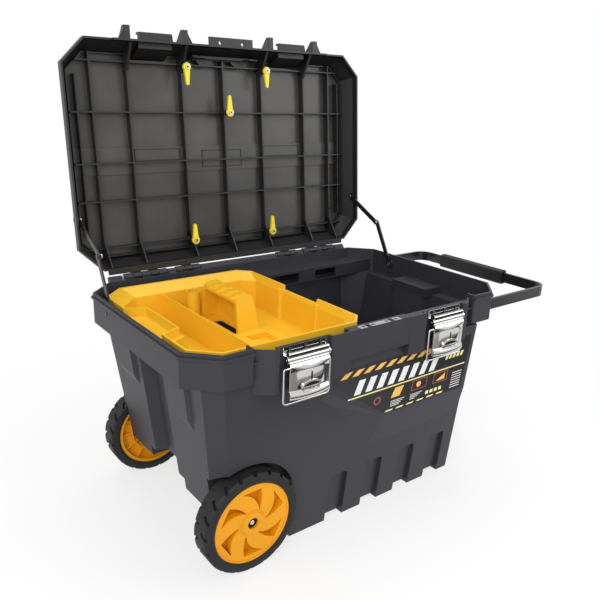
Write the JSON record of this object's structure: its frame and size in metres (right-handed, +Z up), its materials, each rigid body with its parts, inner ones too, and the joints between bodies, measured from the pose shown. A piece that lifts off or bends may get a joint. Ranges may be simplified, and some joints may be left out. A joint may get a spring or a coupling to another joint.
{
  "type": "rolling tool chest",
  "caption": "Rolling plastic tool chest with a tapered ribbed tub, hinged lid on folding stays, lift-out tote tray, pull-out handle, wheels and draw latches.",
  "frame": {"origin": "on the floor under the middle of the collar, on the foot between the second and third grooves from the middle", "axes": "+X along the chest from the wheel end to the handle end, -Y the front with the latches, +Z up"},
  "size_m": [0.892, 0.555, 0.8539],
  "materials": {
    "body_plastic": "fine moulded texture",
    "lid_plastic": "fine moulded texture",
    "tray_plastic": "smooth moulded",
    "hub_plastic": "smooth moulded",
    "clip_plastic": "smooth moulded",
    "tyre_rubber": "matt",
    "latch_chrome": "bright plated",
    "pin_steel": "zinc plated",
    "handle_paint": "satin black",
    "grip_plastic": "matt"
  },
  "bodies": {
    "chest": {"chest_tub": "body_plastic", "hinge_pin_left": "pin_steel", "hinge_pin_right": "pin_steel", "axle": "pin_steel", "axle_push_nuts": "pin_steel", "latch_base_left": "latch_chrome", "latch_base_right": "latch_chrome", "latch_screws": "latch_chrome", "lever_pin_left": "pin_steel", "lever_pin_right": "pin_steel", "stay_body_pins": "pin_steel"},
    "lid": {"lid_shell": "lid_plastic", "clip_screws": "pin_steel", "stay_lid_pins": "pin_steel"},
    "tray": {"tote_tray": "tray_plastic"},
    "handle": {"handle_bar": "handle_paint", "handle_grip": "grip_plastic", "handle_stop_pins": "pin_steel"},
    "front_wheel": {"front_wheel_hub": "hub_plastic", "front_wheel_tyre": "tyre_rubber"},
    "rear_wheel": {"rear_wheel_hub": "hub_plastic", "rear_wheel_tyre": "tyre_rubber"},
    "lower_stay_left": {"stay_lower_left": "handle_paint"},
    "upper_stay_left": {"stay_upper_left": "pin_steel", "stay_knuckle_left": "pin_steel"},
    "lever_left": {"latch_lever_left": "latch_chrome"},
    "bail_left": {"latch_bail_left": "latch_chrome"},
    "lower_stay_right": {"stay_lower_right": "handle_paint"},
    "upper_stay_right": {"stay_upper_right": "pin_steel", "stay_knuckle_right": "pin_steel"},
    "lever_right": {"latch_lever_right": "latch_chrome"},
    "bail_right": {"latch_bail_right": "latch_chrome"},
    "clip_1": {"lid_clip_1": "clip_plastic"},
    "clip_2": {"lid_clip_2": "clip_plastic"},
    "clip_3": {"lid_clip_3": "clip_plastic"},
    "clip_4": {"lid_clip_4": "clip_plastic"},
    "clip_5": {"lid_clip_5": "clip_plastic"}
  },
  "joints": [
    {"name": "lid_hinge", "type": "hinge", "parent": "chest", "child": "lid", "pos_m": [0, 0.226, 0.396], "axis": [-1, 0, 0], "range_deg": [-95, 0]},
    {"name": "tray_lift", "type": "slide", "parent": "chest", "child": "tray", "axis": [0, 0, 1], "range_m": [0, 0.25]},
    {"name": "handle_slide", "type": "slide", "parent": "chest", "child": "handle", "axis": [1, 0, 0], "range_m": [-0.165, 0]},
    {"name": "front_wheel_spin", "type": "hinge", "parent": "chest", "child": "front_wheel", "pos_m": [-0.239, -0.184, 0.088], "axis": [0, 1, 0], "continuous": true},
    {"name": "rear_wheel_spin", "type": "hinge", "parent": "chest", "child": "rear_wheel", "pos_m": [-0.239, 0.184, 0.088], "axis": [0, 1, 0], "continuous": true},
    {"name": "lower_stay_left_turn", "type": "hinge", "parent": "chest", "child": "lower_stay_left", "pos_m": [-0.3355, 0.105, 0.372], "axis": [-1, 0, 0], "range_deg": [-106.3, 0]},
    {"name": "upper_stay_left_turn", "type": "hinge", "parent": "lid", "child": "upper_stay_left", "pos_m": [-0.3321, 0.25003, 0.51004], "axis": [-1, 0, 0], "range_deg": [0, 114.6]},
    {"name": "lever_left_turn", "type": "hinge", "parent": "chest", "child": "lever_left", "pos_m": [-0.158, -0.2245, 0.369], "axis": [-1, 0, 0], "range_deg": [0, 90]},
    {"name": "bail_left_turn", "type": "hinge", "parent": "lever_left", "child": "bail_left", "pos_m": [-0.158, -0.2245, 0.3545], "axis": [1, 0, 0], "range_deg": [-160, 0]},
    {"name": "lower_stay_right_turn", "type": "hinge", "parent": "chest", "child": "lower_stay_right", "pos_m": [0.3355, 0.105, 0.372], "axis": [-1, 0, 0], "range_deg": [-106.3, 0]},
    {"name": "upper_stay_right_turn", "type": "hinge", "parent": "lid", "child": "upper_stay_right", "pos_m": [0.3321, 0.25003, 0.51004], "axis": [-1, 0, 0], "range_deg": [0, 114.6]},
    {"name": "lever_right_turn", "type": "hinge", "parent": "chest", "child": "lever_right", "pos_m": [0.158, -0.2245, 0.369], "axis": [-1, 0, 0], "range_deg": [0, 90]},
    {"name": "bail_right_turn", "type": "hinge", "parent": "lever_right", "child": "bail_right", "pos_m": [0.158, -0.2245, 0.3545], "axis": [1, 0, 0], "range_deg": [-160, 0]},
    {"name": "clip_1_turn", "type": "hinge", "parent": "lid", "child": "clip_1", "pos_m": [-0.094, 0.2706, 0.7876], "axis": [0, 0.9962, -0.0872], "range_deg": [-100, 100]},
    {"name": "clip_2_turn", "type": "hinge", "parent": "lid", "child": "clip_2", "pos_m": [0.094, 0.2706, 0.7876], "axis": [0, 0.9962, -0.0872], "range_deg": [-100, 100]},
    {"name": "clip_3_turn", "type": "hinge", "parent": "lid", "child": "clip_3", "pos_m": [0, 0.26319, 0.70293], "axis": [0, 0.9962, -0.0872], "range_deg": [-100, 100]},
    {"name": "clip_4_turn", "type": "hinge", "parent": "lid", "child": "clip_4", "pos_m": [-0.096, 0.24097, 0.4489], "axis": [0, 0.9962, -0.0872], "range_deg": [-100, 100]},
    {"name": "clip_5_turn", "type": "hinge", "parent": "lid", "child": "clip_5", "pos_m": [0.098, 0.24097, 0.4489], "axis": [0, 0.9962, -0.0872], "range_deg": [-100, 100]}
  ],
  "couplings": [
    {"joint": "lower_stay_left_turn", "follows": "lid_hinge", "ratio": 1.1136},
    {"joint": "upper_stay_left_turn", "follows": "lid_hinge", "ratio": -1.2006},
    {"joint": "lower_stay_right_turn", "follows": "lid_hinge", "ratio": 1.1136},
    {"joint": "upper_stay_right_turn", "follows": "lid_hinge", "ratio": -1.2006}
  ]
}
